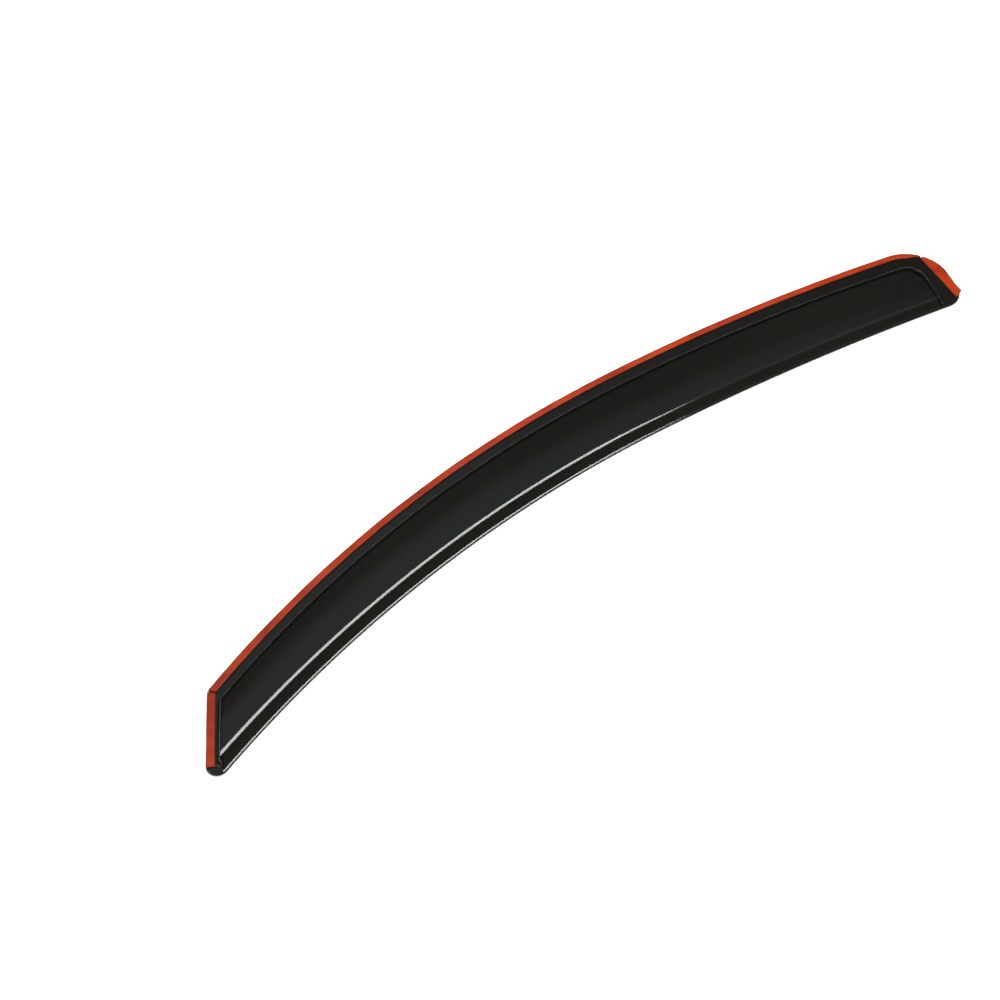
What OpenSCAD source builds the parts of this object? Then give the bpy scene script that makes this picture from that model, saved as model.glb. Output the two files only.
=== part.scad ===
// Window rain deflector for a front side door, lying with its hollow side down.
// The long channel edge faces +Y and the free edge faces -Y. The slanted front end is at -X.

/* [Plan outline] */
// Length of the channel edge from its slanted front corner to its crest
front_len = 432; // [300:1:520]
// Length of the channel edge from its crest to the rear end, before rounding
rear_len = 487; // [340:1:560]
// Radius of the channel edge, front part
channel_r_front = 1200; // [950:10:2400]
// Radius of the channel edge, rear part
channel_r_rear = 2080; // [1300:10:4000]
// Distance behind the crest at which both long edges change radius
blend_x = 90; // [40:1:160]
// Distance from the channel edge's crest to the free edge's crest, across the part
crest_depth = 90; // [76:1:110]
// Place of the free edge's crest along the part
free_crest_x = -40; // [-80:1:0]
// Radius of the free edge, front part
free_r_front = 1300; // [1000:10:2400]
// Radius of the free edge, rear part
free_r_rear = 2800; // [1500:10:4500]
// Slant of the front end, in degrees from square
front_lean = 33; // [15:1:38]
// Slant of the rear end, in degrees from square
rear_lean = 20; // [8:1:24]
// Radius of the corner between the channel edge and the front end
front_top_r = 12; // [9:0.5:16]
// Radius of the pointed front tip
front_tip_r = 10; // [8:0.5:12]
// Radius of the corner between the channel edge and the rear end
rear_top_r = 45; // [34:1:48]
// Radius of the corner between the free edge and the rear end
rear_low_r = 22; // [12:1:26]

/* [Section] */
// Thickness of the moulded sheet
sheet_t = 3; // [2.4:0.1:3.4]
// Width of the flange along the channel edge at the front
flange_front = 15.5; // [10:0.5:18]
// Width of the flange along the channel edge at the rear
flange_rear = 24; // [12:0.5:26]
// Width of the flange along the slanted front end
end_flange_front = 10.5; // [8:0.5:12]
// Width of the flange along the rounded rear end
end_flange_rear = 26; // [14:0.5:28]
// Width of the riser between flange and face
riser_w = 3; // [2.5:0.1:5]
// Height of the face above the flange at the riser
step_h = 5.5; // [5:0.5:8]
// Height of the face above the flange at the bend, at the front
bend_front = 9; // [7:0.5:14]
// Height of the face above the flange at the bend, at the rear
bend_rear = 8; // [7:0.5:14]
// Extra height of the face's crown, midway between riser and bend
crown_h = 1.2; // [0:0.1:3]
// Width of the lip at the front, from the bend to the free edge
lip_front = 14; // [11:0.5:18]
// Width of the lip at the rear, from the bend to the free edge
lip_rear = 12; // [10:0.5:16]
// Width of the lip's flat foot along the free edge
lip_foot = 1.5; // [0.5:0.1:2.5]
// Share of the lip above its foot that is hollow-rounded
lip_hollow = 0.12; // [0.05:0.01:0.3]
// Share of the lip that belongs to the rounded bend
lip_round = 0.6; // [0.3:0.05:0.7]

/* [Tape] */
// Width of the tape strips
tape_w = 7.4; // [6:0.1:7.4]
// Thickness of the foam tape
tape_t = 1.1; // [0.8:0.1:1.6]
// Thickness of the release liner
liner_t = 0.4; // [0.3:0.1:0.6]
// Margin between the shell's edge and the tape
tape_margin = 0.4; // [0.2:0.1:0.6]
// Gap between the strips at the front corner
tape_gap = 0.8; // [0.4:0.1:2]
// Gap between the strips at the rounded rear corner
rear_gap = 3.2; // [1:0.1:4]
// Width to which the channel edge's strip narrows at that corner
strip_tip_w = 1.5; // [1:0.1:3]
// Distance from the rear end over which it narrows
rear_taper = 24; // [15:1:32]
// Distance from the free edge at which the front strip ends, at its outer side
front_strip_low = 14; // [12:0.5:22]
// Distance from the free edge at which the rear strip ends, at its outer side
rear_strip_low = 12; // [8:0.5:16]
// Distance from the free edge at which the rear strip ends, at its inner side
rear_strip_tip = 6; // [4:0.5:8]
// Width of the rear strip where it starts at the rounded corner
rear_start_w = 4; // [2:0.5:6]
// Distance of the rear strip's inner side from the rear end, where it ends
rear_strip_w = 8.5; // [8:0.5:12]
// Distance from the free edge at which the rear liner's outer side starts to flare
flare_low = 24; // [18:1:30]
// Distance that the rear liner's lower corner stands out past the shell's end
liner_over = 1; // [0.5:0.1:2]

/* [Hidden] */

smoke = [0.13, 0.14, 0.14, 0.9];
foam = [0.12, 0.12, 0.13];
liner_orange = [0.80, 0.26, 0.08];

// Steps of the shell's surfaces: rows across a flange, a riser, the face and the lip
flange_steps = 4;
riser_steps = 4;
face_steps = 5;
lip_steps = 8;
// Columns of the shell's surfaces between its two ends
mid_steps = 58;
// Distance over which the columns near an end stay parallel to it
front_zone = 34;
rear_zone = 1.2 * rear_top_r;
// Distance that counts as far away from an end
far_off = 999;

// Height of a long edge that has its crest at x = 0 and changes radius at the place split
function edge_y(x, r1, r2, split) =
    let (s = split / r1, c = sqrt(1 - s * s))
    x <= split ? r1 * (sqrt(1 - pow(x / r1, 2)) - 1)
               : r1 * (c - 1) - r2 * c + sqrt(r2 * r2 - pow(x - split + r2 * s, 2));

// Slope of such an edge, in degrees
function edge_slope(x, r1, r2, split) =
    x <= split ? -asin(x / r1) : -asin((x - split + r2 * split / r1) / r2);

function channel_y(x) = edge_y(x, channel_r_front, channel_r_rear, blend_x);
function channel_slope(x) = edge_slope(x, channel_r_front, channel_r_rear, blend_x);
function free_y(x) =
    edge_y(x - free_crest_x, free_r_front, free_r_rear, blend_x - free_crest_x) - crest_depth;
function free_slope(x) =
    edge_slope(x - free_crest_x, free_r_front, free_r_rear, blend_x - free_crest_x);

// Where a line that leaves the channel edge at x0 with the given lean meets the free edge
function foot_x(x0, lean, rounds = 9) =
    rounds == 0 ? x0
    : x0 - (channel_y(x0) - free_y(foot_x(x0, lean, rounds - 1))) * tan(lean);

front_x = -front_len;
front_foot = foot_x(front_x, front_lean);
rear_foot = foot_x(rear_len, rear_lean);

// Step along an edge that moves 1 mm away from an end line
function along(slope, lean) = [cos(slope), sin(slope)] / cos(slope + lean);
front_top_step = along(channel_slope(front_x), front_lean);
front_low_step = along(free_slope(front_foot), front_lean);
rear_top_step = -along(channel_slope(rear_len), rear_lean);
rear_low_step = -along(free_slope(rear_foot), rear_lean);

// A column runs from the channel edge to the free edge: [x at the channel edge,
// x at the free edge, distance from the front end, distance from the rear end]
function front_col(e) =
    [front_x + e * front_top_step.x, front_foot + e * front_low_step.x, e, far_off];
function rear_col(e) =
    [rear_len + e * rear_top_step.x, rear_foot + e * rear_low_step.x, far_off, e];
function mid_col(t) =
    let (a = front_col(front_zone), b = rear_col(rear_zone))
    [a[0] + t * (b[0] - a[0]), a[1] + t * (b[1] - a[1]),
     front_zone + t * far_off, rear_zone + (1 - t) * far_off];
mid_cols = [for (i = [0:mid_steps]) mid_col(i / mid_steps)];

// Distances from an end at which columns stand: over the flange, up the riser, on the face
function end_steps(flange, zone) =
    [for (i = [0:flange_steps - 1]) flange * i / flange_steps,
     for (i = [0:riser_steps]) flange + riser_w * i / riser_steps,
     (flange + riser_w + zone) / 2];
function reversed(list) = [for (i = [len(list) - 1:-1:0]) list[i]];
function columns(inset) = concat(
    [for (e = end_steps(end_flange_front + inset, front_zone)) front_col(e)],
    mid_cols,
    [for (e = reversed(end_steps(end_flange_rear + inset, rear_zone))) rear_col(e)]);

// Ends and measures of a column
function top_end(c) = [c[0], channel_y(c[0])];
function low_end(c) = [c[1], free_y(c[1])];
function col_dir(c) = let (v = low_end(c) - top_end(c)) v / norm(v);
function col_len(c) = norm(low_end(c) - top_end(c));
// Distance gained from the channel edge, or lost to the free edge, per millimetre of column
function top_rate(c) = abs(cross([cos(channel_slope(c[0])), sin(channel_slope(c[0]))], col_dir(c)));
function low_rate(c) = abs(cross([cos(free_slope(c[1])), sin(free_slope(c[1]))], col_dir(c)));
// A size that changes evenly from the front to the rear, at a column
function between(front, rear, c) =
    front + (rear - front) * (c[0] - front_x) / (rear_len - front_x);
function flange_at(c) = between(flange_front, flange_rear, c);
function lip_at(c) = between(lip_front, lip_rear, c);

// Angles of the four corners
front_top_angle = 90 + front_lean + channel_slope(front_x);
front_tip_angle = 90 - front_lean - free_slope(front_foot);
rear_top_angle = 90 - rear_lean - channel_slope(rear_len);
rear_low_angle = 90 + rear_lean + free_slope(rear_foot);

// Rounds a corner of the grid: what to add to the distances a and b from its two sides, so that
// each line at an even distance from the corner's sides turns in an arc about one centre
function fillet(a, b, r, angle) =
    let (reach = r * (1 + max(0, cos(angle))), m = min(a, b), far = max(a, b))
    m >= r || far >= reach ? [0, 0]
    : let (tangent = r + (r - m) * cos(angle),
           straight = (reach - tangent) / sin(angle),
           arc = (r - m) * (90 - angle / 2) * PI / 180,
           run = (reach - far) / (reach - m) * (straight + arc),
           turn = (run - straight) / (r - m) * 180 / PI,
           near_add = run < straight ? 0 : (r - m) * (1 - cos(turn)),
           far_add = run < straight ? reach - run * sin(angle) - far
                                    : r + (r - m) * cos(angle + turn) - far)
      a <= b ? [near_add, far_add] : [far_add, near_add];

// Point of a column at a given distance down it, with the four corners rounded
function spot(c, s) =
    let (d = col_dir(c),
         top = s * top_rate(c),
         low = (col_len(c) - s) * low_rate(c),
         ft = fillet(top, c[2], front_top_r, front_top_angle),
         fl = fillet(low, c[2], front_tip_r, front_tip_angle),
         rt = fillet(top, c[3], rear_top_r, rear_top_angle),
         rl = fillet(low, c[3], rear_low_r, rear_low_angle))
    top_end(c) + s * d
    + (ft[0] + rt[0]) * d / top_rate(c) - (fl[0] + rl[0]) * d / low_rate(c)
    + ft[1] * front_top_step + fl[1] * front_low_step
    + rt[1] * rear_top_step + rl[1] * rear_low_step;

// Rise of the riser from 0 to 1, steep at the flange and rounded at the face
function clamp01(t) = max(0, min(1, t));
function ramp(t) = 1 - pow(1 - clamp01(t), 2);

// Rise of the lip from 0 at its foot to 1 at the face
lip_rate = 1 / (1 - lip_hollow / 2 - lip_round * 2 / 3);
function lip_ramp(t) =
    let (u = clamp01(t))
    u < lip_hollow ? lip_rate * u * u / lip_hollow / 2
    : u < 1 - lip_round ? lip_rate * (u - lip_hollow / 2)
    : 1 - lip_rate * pow(1 - u, 3) / (3 * lip_round * lip_round);

// Height of a surface above the flange, for distances measured from the inset outline
function lift(c, s, inset) =
    let (top = s * top_rate(c) - inset,
         low = (col_len(c) - s) * low_rate(c) - inset,
         flange = flange_at(c),
         lip = lip_at(c),
         t = clamp01((top - flange) / (top + low - flange - lip)),
         bend = between(bend_front, bend_rear, c),
         face = step_h + (bend - step_h) * t + crown_h * sin(180 * t))
    face * ramp((top - flange) / riser_w) * ramp((c[2] - inset - end_flange_front) / riser_w)
    * ramp((c[3] - inset - end_flange_rear) / riser_w)
    * lip_ramp((low - lip_foot) / (lip - lip_foot));

// Places of a column's rows: over the flange, up the riser, over the face and down the lip
function rows(c, inset) =
    let (f = flange_at(c) + inset,
         a = (f + riser_w) / top_rate(c),
         b = col_len(c) - (lip_at(c) + inset) / low_rate(c))
    [for (i = [0:flange_steps - 1]) f * i / flange_steps / top_rate(c),
     for (i = [0:riser_steps]) (f + riser_w * i / riser_steps) / top_rate(c),
     for (i = [1:face_steps]) a + (b - a) * i / face_steps,
     for (i = [1:lip_steps]) b + lip_at(c) / low_rate(c) * i / lip_steps,
     col_len(c)];

// The inside of a bend is narrower than its outside by this much
bend_angle = atan(bend_front * lip_rate / (lip_front - lip_foot));
inner_inset = sheet_t * tan(bend_angle / 2);

// Grid of a surface: one list of points for each column
function skin_grid(inset, z) =
    [for (c = columns(inset)) [for (s = rows(c, inset)) concat(spot(c, s), z + lift(c, s, inset))]];

// The plan is moved so that the middle of the part's box lies on the origin
edge_points = concat(
    [for (c = columns(0)) for (s = [0, col_len(c)]) spot(c, s)],
    [for (c = [front_col(0), rear_col(0)]) for (s = rows(c, 0)) spot(c, s)]);
edge_x = [for (p = edge_points) p.x];
edge_y_all = [for (p = edge_points) p.y];
to_origin = -[min(edge_x) + max(edge_x), min(edge_y_all) + max(edge_y_all), 0] / 2;

// Closed skin between the outer and the inner surface
module visor_shell() {
    outer = skin_grid(0, sheet_t);
    inner = skin_grid(inner_inset, 0);
    m = len(outer);
    n = len(outer[0]);
    points = [for (grid = [outer, inner]) for (col = grid) for (p = col) p];
    function id(i, j, k) = k * m * n + i * n + j;
    skin = [for (i = [0:m - 2]) for (j = [0:n - 2]) each [
        [id(i, j, 0), id(i + 1, j, 0), id(i + 1, j + 1, 0)],
        [id(i, j, 0), id(i + 1, j + 1, 0), id(i, j + 1, 0)],
        [id(i, j, 1), id(i + 1, j + 1, 1), id(i + 1, j, 1)],
        [id(i, j, 1), id(i, j + 1, 1), id(i + 1, j + 1, 1)]]];
    long_rims = [for (i = [0:m - 2]) each [
        [id(i, 0, 0), id(i, 0, 1), id(i + 1, 0, 1)],
        [id(i, 0, 0), id(i + 1, 0, 1), id(i + 1, 0, 0)],
        [id(i, n - 1, 0), id(i + 1, n - 1, 1), id(i, n - 1, 1)],
        [id(i, n - 1, 0), id(i + 1, n - 1, 0), id(i + 1, n - 1, 1)]]];
    end_rims = [for (j = [0:n - 2]) each [
        [id(0, j, 0), id(0, j + 1, 1), id(0, j, 1)],
        [id(0, j, 0), id(0, j + 1, 0), id(0, j + 1, 1)],
        [id(m - 1, j, 0), id(m - 1, j, 1), id(m - 1, j + 1, 1)],
        [id(m - 1, j, 0), id(m - 1, j + 1, 1), id(m - 1, j + 1, 0)]]];
    color(smoke)
        translate(to_origin)
            polyhedron(points, concat(skin, long_rims, end_rims), convexity = 8);
}

// Distance down a column for a given distance from the channel edge or from the free edge
function down(c, top) = top / top_rate(c);
function up(c, low) = col_len(c) - low / low_rate(c);

// Columns over which the channel edge's strip runs, from one corner to the other
strip_steps = 12;
inner_line = tape_margin + tape_w;
function strip_places(first, zone) =
    [for (i = [0:strip_steps - 1]) first + (zone - first) * i / strip_steps];
function strip_columns(front_first) =
    let (rear_first = tape_margin + rear_gap / 2)
    concat([for (e = strip_places(front_first, front_zone)) front_col(e)],
           mid_cols,
           [for (e = reversed(strip_places(rear_first, rear_zone))) rear_col(e)]);

// Width of that strip at a column
function channel_strip_w(c) =
    strip_tip_w + (tape_w - strip_tip_w) * clamp01((c[3] - rear_gap / 2) / rear_taper);
function channel_strip() =
    concat([for (c = strip_columns(tape_margin + tape_gap / 2)) spot(c, down(c, tape_margin))],
           reversed([for (c = strip_columns(inner_line + tape_gap / 2))
                        spot(c, down(c, tape_margin + channel_strip_w(c)))]));

// Points along an end, m inside it, from the channel edge's strip to a distance from the free edge
function end_side(c, m, low, gap) =
    let (a = down(c, m + gap / 2), b = up(c, low))
    [for (i = [0:strip_steps]) spot(c, a + (b - a) * i / strip_steps)];

// The front strip is cut square at its lower end
front_inner_low = front_strip_low - tape_w * cos(front_tip_angle);
function front_strip() =
    concat(end_side(front_col(tape_margin), tape_margin, front_strip_low, tape_gap),
           reversed(end_side(front_col(inner_line), inner_line, front_inner_low, tape_gap)));

// Point of a column at a given distance from the free edge, with no corner rounded
function plain_spot(c, low) = top_end(c) + up(c, low) * col_dir(c);

// The rear strip's inner side is straight, and its outer side follows the rounded end
function rear_inner() =
    let (m = tape_margin + rear_start_w, b = rear_col(m))
    [plain_spot(rear_col(rear_strip_w), rear_strip_tip), spot(b, down(b, m + rear_gap / 2))];
function rear_strip() =
    concat(end_side(rear_col(tape_margin), tape_margin, rear_strip_low, rear_gap), rear_inner());
function rear_liner() =
    concat(end_side(rear_col(tape_margin), tape_margin, flare_low, rear_gap),
           [plain_spot(rear_col(-liner_over), rear_strip_low)], rear_inner());

module strip(points, z, t) {
    translate(to_origin + [0, 0, z])
        linear_extrude(t)
            polygon(points);
}

module tape_channel_edge() {
    color(foam) strip(channel_strip(), sheet_t, tape_t);
}

module tape_front_end() {
    color(foam) strip(front_strip(), sheet_t, tape_t);
}

module tape_rear_end() {
    color(foam) strip(rear_strip(), sheet_t, tape_t);
}

module liner_channel_edge() {
    color(liner_orange) strip(channel_strip(), sheet_t + tape_t, liner_t);
}

module liner_front_end() {
    color(liner_orange) strip(front_strip(), sheet_t + tape_t, liner_t);
}

module liner_rear_end() {
    color(liner_orange) strip(rear_liner(), sheet_t + tape_t, liner_t);
}

visor_shell();
tape_channel_edge();
tape_front_end();
tape_rear_end();
liner_channel_edge();
liner_front_end();
liner_rear_end();
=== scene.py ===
"""Looks of a window rain deflector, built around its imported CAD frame.

The smoke-tinted shell is one smooth, closed skin over the CAD plan. The three foam tapes and their
orange release liners are strips with rounded, slightly uneven edges. Plan sizes are in millimetres.
"""

import math

import bpy
import numpy as np
from mathutils import Matrix, Vector


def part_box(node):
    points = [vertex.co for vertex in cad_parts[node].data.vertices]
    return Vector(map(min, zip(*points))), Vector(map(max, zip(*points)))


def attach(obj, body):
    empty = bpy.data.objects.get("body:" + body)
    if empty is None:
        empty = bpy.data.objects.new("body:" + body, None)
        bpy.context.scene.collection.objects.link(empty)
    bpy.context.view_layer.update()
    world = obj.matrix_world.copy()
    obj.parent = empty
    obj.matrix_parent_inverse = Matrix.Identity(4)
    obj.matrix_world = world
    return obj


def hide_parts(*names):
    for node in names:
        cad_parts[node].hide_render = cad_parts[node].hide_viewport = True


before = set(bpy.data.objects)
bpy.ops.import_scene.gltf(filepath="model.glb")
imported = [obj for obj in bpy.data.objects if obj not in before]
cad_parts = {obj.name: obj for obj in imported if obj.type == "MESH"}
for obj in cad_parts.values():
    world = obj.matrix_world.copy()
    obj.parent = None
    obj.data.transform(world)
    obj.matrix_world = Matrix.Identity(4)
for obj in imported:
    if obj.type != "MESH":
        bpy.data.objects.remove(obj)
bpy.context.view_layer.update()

MM = 0.001

# Plan of the shell, as in the CAD source: lengths and radii of the two long edges
FRONT_LEN = 432.0
REAR_LEN = 487.0
CHANNEL_R_FRONT = 1200.0
CHANNEL_R_REAR = 2080.0
BLEND_X = 90.0
CREST_DEPTH = 90.0
FREE_CREST_X = -40.0
FREE_R_FRONT = 1300.0
FREE_R_REAR = 2800.0
# Slants of the two ends and radii of the four corners
FRONT_LEAN = math.radians(33)
REAR_LEAN = math.radians(20)
FRONT_TOP_R = 12.0
FRONT_TIP_R = 10.0
REAR_TOP_R = 45.0
REAR_LOW_R = 22.0

# Section of the shell: sheet, flange, riser, face, bend and lip
SHEET_T = 3.0
FLANGE_FRONT = 15.5
FLANGE_REAR = 24.0
END_FLANGE_FRONT = 10.5
END_FLANGE_REAR = 26.0
RISER_W = 3.0
STEP_H = 5.5
BEND_FRONT = 9.0
BEND_REAR = 8.0
CROWN_H = 1.2
LIP_FRONT = 14.0
LIP_REAR = 12.0
LIP_FOOT = 1.5
LIP_HOLLOW = 0.12
LIP_ROUND = 0.6
LIP_RATE = 1 / (1 - LIP_HOLLOW / 2 - LIP_ROUND * 2 / 3)
BEND_ANGLE = math.atan(BEND_FRONT * LIP_RATE / (LIP_FRONT - LIP_FOOT))
INNER_INSET = SHEET_T * math.tan(BEND_ANGLE / 2)

# Tape and liner strips
TAPE_W = 7.4
TAPE_T = 1.1
LINER_T = 0.4
TAPE_MARGIN = 0.4
TAPE_GAP = 0.8
REAR_GAP = 3.2
STRIP_TIP_W = 1.5
REAR_TAPER = 24.0
FRONT_STRIP_LOW = 14.0
REAR_STRIP_LOW = 12.0
REAR_STRIP_TIP = 6.0
REAR_START_W = 4.0
REAR_STRIP_W = 8.5
FLARE_LOW = 24.0
LINER_OVER = 1.0
INNER_LINE = TAPE_MARGIN + TAPE_W

# The columns near an end stay parallel to it over these distances
FRONT_ZONE = 34.0
REAR_ZONE = 1.2 * REAR_TOP_R
FAR_OFF = 999.0

# Spacing of the skin: along the part, over the risers and the lip, over the open face, and
# over the flanges of the long edge and of the ends
ALONG_STEP = 2.4
FINE_STEP = 0.45
FACE_STEP = 2.6
FLANGE_STEP = 1.6
END_FLANGE_STEP = 1.5
# The sheet's edge is a full round, made in this many steps to its middle
RIM_R = SHEET_T / 2
RIM_STEPS = 7

# Strips: spacing along them, steps over a rounded edge and over the flat between two edges
STRIP_STEP = 2.0
EDGE_STEPS = 5
FLAT_STEPS = 7
THINNEST = 0.05
TAPE_EDGE_R = 0.25
LINER_EDGE_R = 0.12
# How far the strips' sides stray from straight, and how far the liners lift and dip
TAPE_STRAY = 0.12
LINER_STRAY = 0.16
LINER_RIPPLE = 0.06
# Wave lengths of that unevenness, in millimetres, with each wave's share
WOBBLE_WAVES = ((97, 0.45), (41, 0.3), (17.3, 0.15), (7.7, 0.1))

# Lowest and highest colour of each material
SMOKE_TINTS = ((0.0160, 0.0152, 0.0118), (0.0190, 0.0180, 0.0140))
FOAM_TINTS = ((0.012, 0.012, 0.014), (0.055, 0.055, 0.060))
LINER_TINTS = ((0.21, 0.015, 0.001), (0.31, 0.027, 0.002))
FLOOR_TINTS = ((0.79, 0.79, 0.79), (0.81, 0.81, 0.81))

# Floor: its own light, its width, and the air that keeps the shell's underside off its plane
FLOOR_GLOW = 0.62
FLOOR_SIZE = 30.0
FLOOR_GAP = 0.0001
# Sky colours, by the sine of the height angle
SKY_STOPS = (
    (0.00, (1, 1, 1)), (0.09, (1, 1, 1)), (0.17, (0.12, 0.12, 0.12)), (0.40, (0.05, 0.05, 0.05)),
    (0.67, (0.06, 0.065, 0.07)), (0.77, (0.27, 0.33, 0.38)), (0.90, (0.32, 0.37, 0.42)),
    (1.00, (0.15, 0.16, 0.18)),
)

# Softboxes: place, aim point and size in metres, and radiance
KEY_PLACE, KEY_AIM = (0.33, 0.02, 1.5), (0.33, 0.02, 0)
KEY_SIZE, KEY_RADIANCE = (0.95, 1.0), 13.0
SIDE_PLACE, SIDE_AIM = (-1.5, 0.7, 1.5), (0, 0, 0)
SIDE_SIZE, SIDE_RADIANCE = (0.9, 0.9), 3.0

# Camera, fitted to the deflector's outline in the photograph; the target is a plan point
CAMERA_AZIMUTH = math.radians(-36.54)
CAMERA_ELEVATION = math.radians(49.15)
CAMERA_ROLL = math.radians(-2.04)
CAMERA_DISTANCE = 1.7923
CAMERA_TARGET_PLAN = (-91.65, -65.88)
CAMERA_LENS = 67.28
CAMERA_SENSOR = 36


def edge_y(x, r1, r2, split):
    """Height of a long edge with its crest at x = 0, which changes radius at split."""
    s = split / r1
    c = math.sqrt(1 - s * s)
    near = r1 * (np.sqrt(1 - (np.minimum(x, split) / r1) ** 2) - 1)
    far = r1 * (c - 1) - r2 * c + np.sqrt(r2 * r2 - (x - split + r2 * s) ** 2)
    return np.where(x <= split, near, far)


def edge_slope(x, r1, r2, split):
    """Slope of such an edge, in radians."""
    return -np.arcsin(np.where(x <= split, x / r1, (x - split) / r2 + split / r1))


def channel_y(x):
    return edge_y(x, CHANNEL_R_FRONT, CHANNEL_R_REAR, BLEND_X)


def channel_slope(x):
    return edge_slope(x, CHANNEL_R_FRONT, CHANNEL_R_REAR, BLEND_X)


def free_y(x):
    return edge_y(x - FREE_CREST_X, FREE_R_FRONT, FREE_R_REAR, BLEND_X - FREE_CREST_X) - CREST_DEPTH


def free_slope(x):
    return edge_slope(x - FREE_CREST_X, FREE_R_FRONT, FREE_R_REAR, BLEND_X - FREE_CREST_X)


def foot_x(x0, lean):
    """Where a line from the channel edge at x0, with the given lean, meets the free edge."""
    x = x0
    for _ in range(9):
        x = x0 - (channel_y(x0) - free_y(x)) * math.tan(lean)
    return float(x)


FRONT_X = -FRONT_LEN
FRONT_FOOT = foot_x(FRONT_X, FRONT_LEAN)
REAR_FOOT = foot_x(REAR_LEN, REAR_LEAN)


def along(slope, lean):
    """Step along an edge that moves 1 mm away from an end line."""
    return np.array([math.cos(slope), math.sin(slope)]) / math.cos(slope + lean)


FRONT_TOP_STEP = along(channel_slope(FRONT_X), FRONT_LEAN)
FRONT_LOW_STEP = along(free_slope(FRONT_FOOT), FRONT_LEAN)
REAR_TOP_STEP = -along(channel_slope(REAR_LEN), REAR_LEAN)
REAR_LOW_STEP = -along(free_slope(REAR_FOOT), REAR_LEAN)

# Angles of the four corners
FRONT_TOP_ANGLE = math.pi / 2 + FRONT_LEAN + float(channel_slope(FRONT_X))
FRONT_TIP_ANGLE = math.pi / 2 - FRONT_LEAN - float(free_slope(FRONT_FOOT))
REAR_TOP_ANGLE = math.pi / 2 - REAR_LEAN - float(channel_slope(REAR_LEN))
REAR_LOW_ANGLE = math.pi / 2 + REAR_LEAN + float(free_slope(REAR_FOOT))


class Columns:
    """Lines from the channel edge to the free edge, as arrays with one row for each line."""

    def __init__(self, top_x, low_x, front, rear):
        self.top_x, self.low_x, self.front, self.rear = (
            np.asarray(v, float).reshape(-1, 1) for v in (top_x, low_x, front, rear)
        )
        self.top = np.stack([self.top_x, channel_y(self.top_x)], -1)
        self.low = np.stack([self.low_x, free_y(self.low_x)], -1)
        run = self.low - self.top
        self.length = np.linalg.norm(run, axis=-1)
        self.dir = run / self.length[..., None]
        self.top_rate = self.rate(channel_slope(self.top_x))
        self.low_rate = self.rate(free_slope(self.low_x))

    def rate(self, slope):
        """Distance gained from an edge of that slope for each millimetre of the line."""
        return np.abs(np.cos(slope) * self.dir[..., 1] - np.sin(slope) * self.dir[..., 0])

    def between(self, front, rear):
        """A size that changes evenly from the front to the rear."""
        return front + (rear - front) * (self.top_x - FRONT_X) / (REAR_LEN - FRONT_X)

    def down(self, distance):
        return distance / self.top_rate

    def up(self, distance):
        return self.length - distance / self.low_rate


def front_cols(e):
    """Places of columns at the distances e from the front end, for Columns."""
    e = np.atleast_1d(np.asarray(e, float))
    return (FRONT_X + e * FRONT_TOP_STEP[0], FRONT_FOOT + e * FRONT_LOW_STEP[0], e, e * 0 + FAR_OFF)


def rear_cols(e):
    """Places of columns at the distances e from the rear end."""
    e = np.atleast_1d(np.asarray(e, float))
    return (REAR_LEN + e * REAR_TOP_STEP[0], REAR_FOOT + e * REAR_LOW_STEP[0], e * 0 + FAR_OFF, e)


def mid_cols(count):
    """Places of the columns between the two end zones."""
    t = np.linspace(0, 1, count + 1)
    a, b = (np.array(v[:2])[:, 0] for v in (front_cols(FRONT_ZONE), rear_cols(REAR_ZONE)))
    return (a[0] + t * (b[0] - a[0]), a[1] + t * (b[1] - a[1]),
            FRONT_ZONE + t * FAR_OFF, REAR_ZONE + (1 - t) * FAR_OFF)


def joined(*groups):
    """Columns of several groups of places, in order."""
    return Columns(*(np.concatenate(v) for v in zip(*groups)))


def fillet(a, b, r, angle):
    """What to add to the distances from a corner's two sides, so that lines turn in arcs."""
    reach = r * (1 + max(0.0, math.cos(angle)))
    m = np.minimum(np.minimum(a, b), r * 0.9999)
    far = np.maximum(a, b)
    tangent = r + (r - m) * math.cos(angle)
    straight = (reach - tangent) / math.sin(angle)
    arc = (r - m) * (math.pi - angle) / 2
    run = (reach - far) / np.maximum(reach - m, 1e-9) * (straight + arc)
    turn = (run - straight) / (r - m)
    flat = run < straight
    near_add = np.where(flat, 0, (r - m) * (1 - np.cos(turn)))
    far_add = np.where(flat, reach - run * math.sin(angle) - far,
                       r + (r - m) * np.cos(angle + turn) - far)
    idle = (np.minimum(a, b) >= r) | (far >= reach)
    near_add, far_add = np.where(idle, 0, near_add), np.where(idle, 0, far_add)
    first = a <= b
    return np.where(first, near_add, far_add), np.where(first, far_add, near_add)


def spot(cols, s):
    """Plan points at the distances s down the columns, with the four corners rounded."""
    top = s * cols.top_rate
    low = (cols.length - s) * cols.low_rate
    ft = fillet(top, cols.front + 0 * s, FRONT_TOP_R, FRONT_TOP_ANGLE)
    fl = fillet(low, cols.front + 0 * s, FRONT_TIP_R, FRONT_TIP_ANGLE)
    rt = fillet(top, cols.rear + 0 * s, REAR_TOP_R, REAR_TOP_ANGLE)
    rl = fillet(low, cols.rear + 0 * s, REAR_LOW_R, REAR_LOW_ANGLE)
    across = s + (ft[0] + rt[0]) / cols.top_rate - (fl[0] + rl[0]) / cols.low_rate
    return (cols.top + across[..., None] * cols.dir
            + ft[1][..., None] * FRONT_TOP_STEP + fl[1][..., None] * FRONT_LOW_STEP
            + rt[1][..., None] * REAR_TOP_STEP + rl[1][..., None] * REAR_LOW_STEP)


def ramp(t):
    """Rise of the riser from 0 to 1, steep at the flange and rounded at the face."""
    return 1 - (1 - np.clip(t, 0, 1)) ** 2


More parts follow.
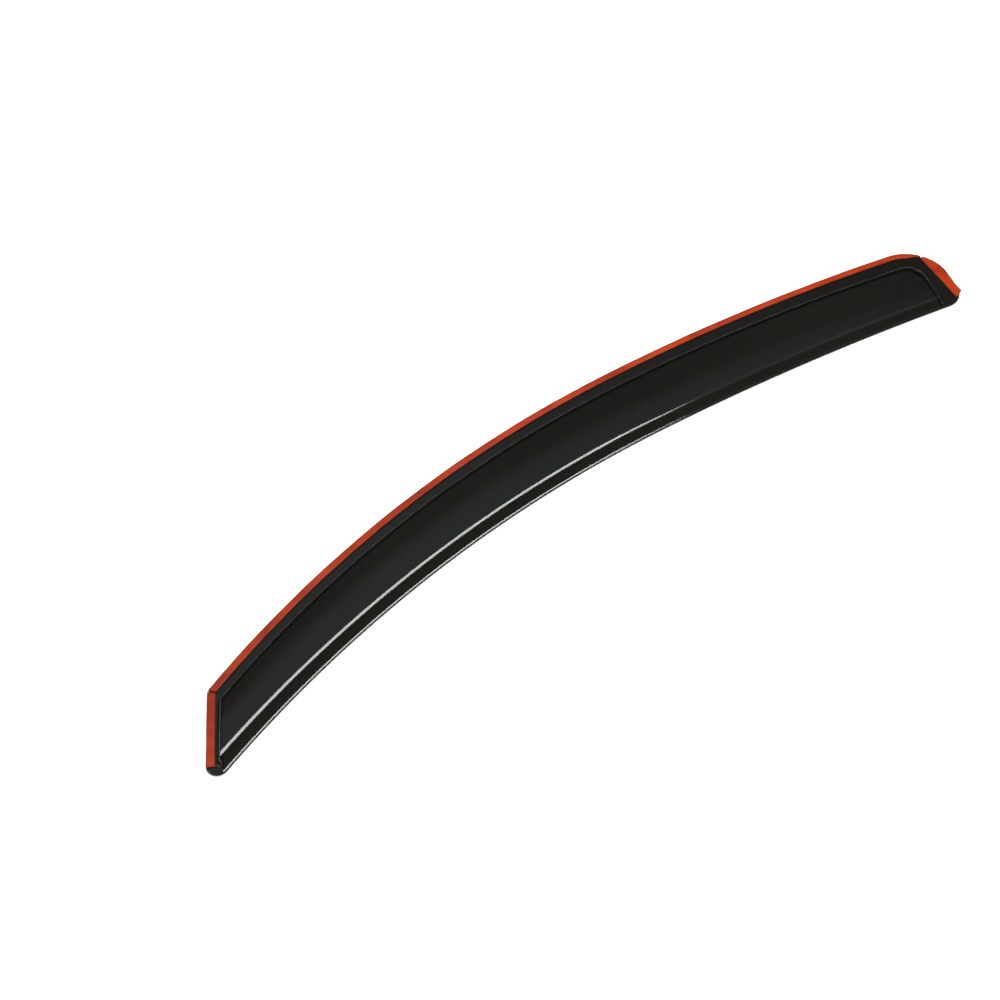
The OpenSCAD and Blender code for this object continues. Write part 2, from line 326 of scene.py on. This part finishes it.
def lip_ramp(t):
    """Rise of the lip from 0 at its foot to 1 at the face."""
    u = np.clip(t, 0, 1)
    hollow = LIP_RATE * u * u / LIP_HOLLOW / 2
    straight = LIP_RATE * (u - LIP_HOLLOW / 2)
    bend = 1 - LIP_RATE * (1 - u) ** 3 / (3 * LIP_ROUND**2)
    return np.where(u < LIP_HOLLOW, hollow, np.where(u < 1 - LIP_ROUND, straight, bend))


def lift(cols, s, inset):
    """Height of a surface above the flange, for distances measured from the inset outline."""
    top = s * cols.top_rate - inset
    low = (cols.length - s) * cols.low_rate - inset
    flange = cols.between(FLANGE_FRONT, FLANGE_REAR)
    lip = cols.between(LIP_FRONT, LIP_REAR)
    t = np.clip((top - flange) / (top + low - flange - lip), 0, 1)
    bend = cols.between(BEND_FRONT, BEND_REAR)
    face = STEP_H + (bend - STEP_H) * t + CROWN_H * np.sin(math.pi * t)
    front_end = ramp((cols.front - inset - END_FLANGE_FRONT) / RISER_W)
    rear_end = ramp((cols.rear - inset - END_FLANGE_REAR) / RISER_W)
    falling = lip_ramp((low - LIP_FOOT) / (lip - LIP_FOOT))
    return face * ramp((top - flange) / RISER_W) * front_end * rear_end * falling


def rim(cols, s):
    """Drop of the surface at the sheet's rounded edge."""
    top = s * cols.top_rate
    low = (cols.length - s) * cols.low_rate
    m = np.minimum(np.minimum(top, low), np.minimum(cols.front, cols.rear))
    m = np.clip(m, 0, RIM_R)
    return RIM_R - np.sqrt(RIM_R**2 - (RIM_R - m) ** 2)


def rim_places():
    """Distances from an edge, over its rounded rim, that turn by equal angles."""
    return RIM_R * (1 - np.cos(np.linspace(0, math.pi / 2, RIM_STEPS + 1)))


def stepped(a, b, step):
    """Evenly spaced values from a to just short of b."""
    return np.linspace(a, b, max(2, round((b - a) / step)) + 1)[:-1]


def end_places(flange, zone):
    """Distances from an end at which the skin's columns stand."""
    top = flange + RISER_W + INNER_INSET
    return np.concatenate([
        rim_places()[:-1],
        stepped(RIM_R, flange, END_FLANGE_STEP),
        stepped(flange, top, FINE_STEP),
        stepped(top, zone, FACE_STEP),
    ])


def skin_rows(cols):
    """Distances down each column: rim, flange, riser, face, lip and rim."""
    flange = cols.between(FLANGE_FRONT, FLANGE_REAR)
    lip = cols.between(LIP_FRONT, LIP_REAR)
    riser_end = flange + RISER_W + INNER_INSET
    face_start = cols.down(riser_end)
    face_end = cols.up(lip + INNER_INSET)

    def spread(a, b, count):
        return a + (b - a) * np.arange(count) / count

    flange_steps = round(FLANGE_REAR / FLANGE_STEP)
    riser_steps = round((RISER_W + INNER_INSET) / FINE_STEP)
    face_steps = round(CREST_DEPTH / 2 / FACE_STEP)
    lip_steps = round((LIP_FRONT + INNER_INSET) / FINE_STEP)
    return np.concatenate([
        cols.down(rim_places()[None, :-1]),
        spread(cols.down(RIM_R), cols.down(flange), flange_steps),
        spread(cols.down(flange), face_start, riser_steps),
        spread(face_start, face_end, face_steps),
        spread(face_end, cols.up(RIM_R), lip_steps),
        cols.up(rim_places()[None, ::-1]),
    ], axis=1)


def plan_shift():
    """What moves a plan point to the row frame, in millimetres: the CAD box is centred on it."""
    lo, hi = (np.array(corner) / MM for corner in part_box("visor_shell"))
    places = np.linspace(0, REAR_ZONE, 200)
    cols = joined(front_cols(places), mid_cols(200), rear_cols(places[::-1]))
    s = cols.length * np.linspace(0, 1, 400)
    xy = spot(cols, s).reshape(-1, 2)
    return (lo + hi)[:2] / 2 - (xy.min(0) + xy.max(0)) / 2


SHIFT = plan_shift()


def to_row(xy, z):
    """Row-frame points in metres from plan points and heights in millimetres."""
    return np.concatenate([xy + SHIFT, np.asarray(z, float)[..., None]], -1) * MM


def mesh_object(name, verts, faces, material):
    """A smooth-shaded object with that name, built from numpy vertices and index lists."""
    mesh = bpy.data.meshes.new(name)
    mesh.from_pydata(verts.tolist(), [], faces)
    mesh.validate()
    mesh.update()
    mesh.shade_smooth()
    mesh.materials.append(material)
    obj = bpy.data.objects.new(name, mesh)
    bpy.context.scene.collection.objects.link(obj)
    return obj


def shell_mesh(name, material):
    """The moulded sheet: an outer and an inner surface that meet in a rounded rim."""
    front = end_places(END_FLANGE_FRONT, FRONT_ZONE)
    rear = end_places(END_FLANGE_REAR, REAR_ZONE)
    mid_count = round((FRONT_LEN + REAR_LEN) / ALONG_STEP)
    cols = joined(front_cols(front), mid_cols(mid_count), rear_cols(rear[::-1]))
    s = skin_rows(cols)
    xy = spot(cols, s)
    drop = rim(cols, s)
    outer = to_row(xy, SHEET_T + lift(cols, s, 0) - drop)
    inner = to_row(xy, lift(cols, s, INNER_INSET) + drop)
    m, n = s.shape
    above = np.arange(m * n).reshape(m, n)
    inside = np.zeros((m, n), bool)
    inside[1:-1, 1:-1] = True
    below = above.copy()
    below[inside] = m * n + np.arange(inside.sum())
    verts = np.concatenate([outer.reshape(-1, 3), inner[inside]])
    faces = []
    for ids, flip in ((above, False), (below, True)):
        quads = np.stack([ids[:-1, :-1], ids[1:, :-1], ids[1:, 1:], ids[:-1, 1:]], -1).reshape(-1, 4)
        faces += (quads if flip else quads[:, ::-1]).tolist()
    return mesh_object(name, verts, faces, material)


def resampled(points, count):
    """A polyline's points, respaced evenly along it."""
    gaps = np.linalg.norm(np.diff(points, axis=0), axis=1)
    place = np.concatenate([[0], np.cumsum(gaps)])
    at = np.linspace(0, place[-1], count)
    return np.stack([np.interp(at, place, points[:, k]) for k in range(2)], -1)


def channel_sides(count=240):
    """The outer and inner plan line of the channel edge's strip, which narrows at its rear end."""
    lines = []
    rear = stepped(TAPE_MARGIN + REAR_GAP / 2, REAR_ZONE, 0.5)
    for first, full in ((TAPE_MARGIN, 0.0), (INNER_LINE, 1.0)):
        front = stepped(first + TAPE_GAP / 2, FRONT_ZONE, 1.0)
        cols = joined(front_cols(front), mid_cols(count), rear_cols(rear[::-1]))
        widening = np.clip((cols.rear - REAR_GAP / 2) / REAR_TAPER, 0, 1)
        width = STRIP_TIP_W + (TAPE_W - STRIP_TIP_W) * widening
        lines.append(spot(cols, cols.down(TAPE_MARGIN + full * width))[:, 0])
    return lines


def end_side(col, m, low, gap, steps=90):
    """Plan line along an end, m inside it, from the channel edge's strip down."""
    cols = Columns(*col)
    a, b = cols.down(m + gap / 2), cols.up(low)
    return spot(cols, a + (b - a) * np.linspace(0, 1, steps + 1)[None])[0]


def front_sides():
    """The outer and inner plan line of the front strip, which is cut square."""
    inner_low = FRONT_STRIP_LOW - TAPE_W * math.cos(FRONT_TIP_ANGLE)
    return [end_side(front_cols(m), m, low, TAPE_GAP)
            for m, low in ((TAPE_MARGIN, FRONT_STRIP_LOW), (INNER_LINE, inner_low))]


def plain_spot(e, low):
    """Plan point at those distances from the rear end and the free edge, no corner rounded."""
    col = Columns(*rear_cols(e))
    return col.top[0, 0] + col.up(low)[0, 0] * col.dir[0, 0]


def rear_inner():
    """The rear strip's straight inner side."""
    m = TAPE_MARGIN + REAR_START_W
    start = Columns(*rear_cols(m))
    return np.stack([spot(start, start.down(m + REAR_GAP / 2))[0, 0],
                     plain_spot(REAR_STRIP_W, REAR_STRIP_TIP)])


def rear_sides():
    return [end_side(rear_cols(TAPE_MARGIN), TAPE_MARGIN, REAR_STRIP_LOW, REAR_GAP), rear_inner()]


def rear_liner_sides():
    """The rear liner's sides: its lower outer corner stands out past the shell's end."""
    outer = end_side(rear_cols(TAPE_MARGIN), TAPE_MARGIN, FLARE_LOW, REAR_GAP)
    tip = plain_spot(-LINER_OVER, REAR_STRIP_LOW)
    return [np.concatenate([outer, tip[None]]), rear_inner()]


def wobble(s, size, seed):
    """A gentle, repeatable unevenness along a strip, s in millimetres."""
    return size * sum(
        share * np.sin(2 * math.pi * s / wave + seed * (i + 1.7))
        for i, (wave, share) in enumerate(WOBBLE_WAVES)
    )


def strip_mesh(name, sides, z, edge_r, uneven, material, ripple=0.0, seed=1.0):
    """A strip between two plan lines and two heights, with rounded edges and uneven sides."""
    length = np.linalg.norm(np.diff(sides[0], axis=0), axis=1).sum()
    count = max(24, round(length / STRIP_STEP))
    outer, inner = (resampled(line, count) for line in sides)
    run = inner - outer
    width = np.maximum(np.linalg.norm(run, axis=1), THINNEST)[:, None]
    run = run / width
    s = np.linspace(0, length, count)[:, None]
    a = wobble(s, uneven, seed)
    b = width - wobble(s, uneven, seed + 2.3)
    z0, z1 = z
    turn = np.linspace(0, math.pi / 2, EDGE_STEPS)
    r = np.minimum(edge_r, width / 4)
    corner_in, corner_up = r * (1 - np.sin(turn)), edge_r * (1 - np.cos(turn))
    flat = np.linspace(0.1, 0.9, FLAT_STEPS)
    level = np.zeros(FLAT_STEPS)
    ring = np.concatenate([
        a + corner_in, a + r + (b - a - 2 * r) * flat, b - corner_in[:, ::-1],
        b - corner_in, b - r - (b - a - 2 * r) * flat, a + corner_in[:, ::-1],
    ], axis=1)
    heights = np.concatenate([
        z1 - corner_up[::-1], z1 + level, z1 - corner_up,
        z0 + corner_up[::-1], z0 + level, z0 + corner_up,
    ])
    lifted = ripple * wobble(s, 1.0, seed + 5) * (np.arange(ring.shape[1]) < ring.shape[1] / 2)
    xy = outer[:, None] + run[:, None] * ring[..., None]
    verts = to_row(xy, heights[None] + lifted)
    m, n = ring.shape
    ids = np.arange(m * n).reshape(m, n)
    after = np.roll(ids, -1, axis=1)
    faces = np.stack([ids[:-1], after[:-1], after[1:], ids[1:]], -1).reshape(-1, 4).tolist()
    faces += [ids[0, ::-1].tolist(), ids[-1].tolist()]
    return mesh_object(name, verts.reshape(-1, 3), faces, material)


class Nodes:
    """Short-hand for building a node tree."""

    def __init__(self, tree):
        self.tree = tree
        tree.nodes.clear()

    def add(self, kind, **values):
        node = self.tree.nodes.new(kind)
        for key, value in values.items():
            if key in node.inputs:
                node.inputs[key].default_value = value
            else:
                setattr(node, key, value)
        return node

    def link(self, a, b):
        self.tree.links.new(a, b)


def new_material(name, **shader):
    """A material with a Principled shader and its node builder."""
    material = bpy.data.materials.new(name)
    material.use_nodes = True
    nodes = Nodes(material.node_tree)
    bsdf = nodes.add("ShaderNodeBsdfPrincipled")
    for key, value in shader.items():
        bsdf.inputs[key.replace("_", " ")].default_value = value
    out = nodes.add("ShaderNodeOutputMaterial")
    nodes.link(bsdf.outputs[0], out.inputs["Surface"])
    coords = nodes.add("ShaderNodeTexCoord").outputs["Object"]
    return material, nodes, bsdf, coords


def noise(nodes, coords, scale, detail=2.0, rough=0.5):
    tex = nodes.add("ShaderNodeTexNoise", Scale=scale, Detail=detail, Roughness=rough)
    nodes.link(coords, tex.inputs["Vector"])
    return tex.outputs["Fac"]


def blended_colour(nodes, fac, low, high, start=0.35, stop=0.65):
    """A colour that runs from low to high as fac does."""
    band = nodes.add("ShaderNodeValToRGB")
    band.color_ramp.elements[0].position, band.color_ramp.elements[1].position = start, stop
    band.color_ramp.elements[0].color, band.color_ramp.elements[1].color = (*low, 1), (*high, 1)
    nodes.link(fac, band.inputs["Fac"])
    return band.outputs["Color"]


def ranged(nodes, value, low, high, start=0.35, stop=0.65):
    """A number that runs from low to high as value does."""
    node = nodes.add("ShaderNodeMapRange")
    for slot, number in zip(("From Min", "From Max", "To Min", "To Max"), (start, stop, low, high)):
        node.inputs[slot].default_value = number
    nodes.link(value, node.inputs["Value"])
    return node.outputs["Result"]


def bumped(nodes, bsdf, height, distance, strength=1.0, under=None):
    node = nodes.add("ShaderNodeBump", Strength=strength, Distance=distance)
    nodes.link(height, node.inputs["Height"])
    if under is not None:
        nodes.link(under, node.inputs["Normal"])
    nodes.link(node.outputs["Normal"], bsdf.inputs["Normal"])
    return node.outputs["Normal"]


def smoke_acrylic():
    """Smoke-tinted clear acrylic: polished, faintly wavy, with a haze of fingerprints."""
    material, nodes, bsdf, coords = new_material("smoke_acrylic", IOR=1.49, Transmission_Weight=1.0)
    tint = blended_colour(nodes, noise(nodes, coords, 5), *SMOKE_TINTS)
    nodes.link(tint, bsdf.inputs["Base Color"])
    haze = noise(nodes, coords, 26, detail=6, rough=0.62)
    nodes.link(ranged(nodes, haze, 0.03, 0.10, start=0.45, stop=0.75), bsdf.inputs["Roughness"])
    waves = bumped(nodes, bsdf, noise(nodes, coords, 9, detail=0), 0.0001)
    bumped(nodes, bsdf, noise(nodes, coords, 700), 0.000001, under=waves)
    return material


def foam_tape():
    """Dark acrylic foam with fine open cells."""
    material, nodes, bsdf, coords = new_material("foam_tape", Specular_IOR_Level=0.2)
    cells = noise(nodes, coords, 2600, detail=3)
    nodes.link(blended_colour(nodes, cells, *FOAM_TINTS), bsdf.inputs["Base Color"])
    nodes.link(ranged(nodes, cells, 0.75, 0.95), bsdf.inputs["Roughness"])
    bumped(nodes, bsdf, cells, 0.0003)
    return material


def release_liner():
    """Orange-red release film: satin, with faint crinkles and patches that bear lighter."""
    material, nodes, bsdf, coords = new_material("release_liner", Specular_IOR_Level=0.2)
    patches = noise(nodes, coords, 38, detail=4)
    nodes.link(blended_colour(nodes, patches, *LINER_TINTS), bsdf.inputs["Base Color"])
    nodes.link(ranged(nodes, noise(nodes, coords, 90), 0.30, 0.48), bsdf.inputs["Roughness"])
    crinkle = bumped(nodes, bsdf, noise(nodes, coords, 120, detail=3), 0.0005)
    bumped(nodes, bsdf, noise(nodes, coords, 2400), 0.00002, under=crinkle)
    return material


def floor_material():
    """A pale floor that reads as white to the camera and in reflections, and keeps shadows."""
    material, nodes, bsdf, coords = new_material("floor_white", Roughness=0.6, Specular_IOR_Level=0.1)
    tint = blended_colour(nodes, noise(nodes, coords, 40), *FLOOR_TINTS)
    nodes.link(tint, bsdf.inputs["Base Color"])
    path = nodes.add("ShaderNodeLightPath")
    seen = path.outputs["Is Camera Ray"]
    for ray in ("Is Glossy Ray", "Is Transmission Ray"):
        either = nodes.add("ShaderNodeMath", operation="MAXIMUM")
        nodes.link(seen, either.inputs[0])
        nodes.link(path.outputs[ray], either.inputs[1])
        seen = either.outputs[0]
    strength = nodes.add("ShaderNodeMath", operation="MULTIPLY")
    strength.inputs[1].default_value = FLOOR_GLOW
    nodes.link(seen, strength.inputs[0])
    bsdf.inputs["Emission Color"].default_value = (1, 1, 1, 1)
    nodes.link(strength.outputs[0], bsdf.inputs["Emission Strength"])
    return material


def make_floor():
    """The floor under the part."""
    half = FLOOR_SIZE / 2
    z = -FLOOR_GAP
    corners = np.array([(-half, -half, z), (half, -half, z), (half, half, z), (-half, half, z)])
    floor = mesh_object("floor", corners, [[0, 1, 2, 3]], floor_material())


def make_world():
    """White at the horizon, dark above it, with a soft blue-grey glow high up."""
    world = bpy.data.worlds.new("studio")
    bpy.context.scene.world = world
    world.use_nodes = True
    nodes = Nodes(world.node_tree)
    coords = nodes.add("ShaderNodeTexCoord").outputs["Generated"]
    parts = nodes.add("ShaderNodeSeparateXYZ")
    nodes.link(coords, parts.inputs[0])
    band = nodes.add("ShaderNodeValToRGB")
    elements = band.color_ramp.elements
    for _ in range(len(SKY_STOPS) - 2):
        elements.new(0.5)
    for element, (place, colour) in zip(elements, SKY_STOPS):
        element.position = place
        element.color = (*colour, 1)
    nodes.link(parts.outputs["Z"], band.inputs["Fac"])
    sky = nodes.add("ShaderNodeBackground")
    nodes.link(band.outputs["Color"], sky.inputs["Color"])
    out = nodes.add("ShaderNodeOutputWorld")
    nodes.link(sky.outputs[0], out.inputs["Surface"])


def softbox(name, place, aim, size, radiance):
    """A rectangular lamp of the given radiance that faces the aim point."""
    data = bpy.data.lights.new(name, "AREA")
    data.shape = "RECTANGLE"
    data.size, data.size_y = size
    data.energy = radiance * math.pi * size[0] * size[1]
    lamp = bpy.data.objects.new(name, data)
    lamp.location = place
    lamp.rotation_euler = (Vector(aim) - Vector(place)).to_track_quat("-Z", "Y").to_euler()
    bpy.context.scene.collection.objects.link(lamp)


def make_lights():
    """A softbox overhead, which makes the bend's highlight, and a weaker one beyond the front."""
    softbox("key_softbox", KEY_PLACE, KEY_AIM, KEY_SIZE, KEY_RADIANCE)
    softbox("side_softbox", SIDE_PLACE, SIDE_AIM, SIDE_SIZE, SIDE_RADIANCE)


def make_camera():
    """The photograph's view: a camera that looks at the target plan point."""
    data = bpy.data.cameras.new("camera")
    data.sensor_width = CAMERA_SENSOR
    data.lens = CAMERA_LENS
    data.clip_end = 100
    camera = bpy.data.objects.new("camera", data)
    flat = math.cos(CAMERA_ELEVATION)
    sine, cosine = math.sin(CAMERA_AZIMUTH), math.cos(CAMERA_AZIMUTH)
    back = Vector((sine * flat, -cosine * flat, math.sin(CAMERA_ELEVATION)))
    right = Vector((cosine, sine, 0))
    up = back.cross(right)
    turned_right = right * math.cos(CAMERA_ROLL) + up * math.sin(CAMERA_ROLL)
    turned_up = up * math.cos(CAMERA_ROLL) - right * math.sin(CAMERA_ROLL)
    target = Vector(to_row(np.array(CAMERA_TARGET_PLAN), 0).tolist())
    axes = Matrix((turned_right, turned_up, back)).transposed()
    place = target + back * CAMERA_DISTANCE
    camera.matrix_world = Matrix.LocRotScale(place, axes.to_quaternion(), None)
    bpy.context.scene.collection.objects.link(camera)
    bpy.context.scene.camera = camera


def add_piece(obj, node):
    """Puts a dressed piece in place of a CAD node."""
    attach(obj, "root")
    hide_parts(node)


def build_shell():
    add_piece(shell_mesh("smoke_shell", smoke_acrylic()), "visor_shell")


def build_strips():
    tape_z = (SHEET_T, SHEET_T + TAPE_T)
    liner_z = (SHEET_T + TAPE_T, SHEET_T + TAPE_T + LINER_T)
    channel, front = channel_sides(), front_sides()
    rear, rear_cover = rear_sides(), rear_liner_sides()
    foam, film = foam_tape(), release_liner()
    strips = (
        ("channel_edge", channel, channel),
        ("front_end", front, front),
        ("rear_end", rear, rear_cover),
    )
    for seed, (place, tape_sides, liner_sides) in enumerate(strips, 1):
        tape = strip_mesh(f"foam_{place}", tape_sides, tape_z, TAPE_EDGE_R, TAPE_STRAY, foam,
                          seed=seed)
        add_piece(tape, f"tape_{place}")
        liner = strip_mesh(f"film_{place}", liner_sides, liner_z, LINER_EDGE_R, LINER_STRAY, film,
                           ripple=LINER_RIPPLE, seed=seed + 7)
        add_piece(liner, f"liner_{place}")


bpy.context.scene.view_settings.view_transform = "Standard"
build_shell()
build_strips()
make_floor()
make_world()
make_lights()
make_camera()
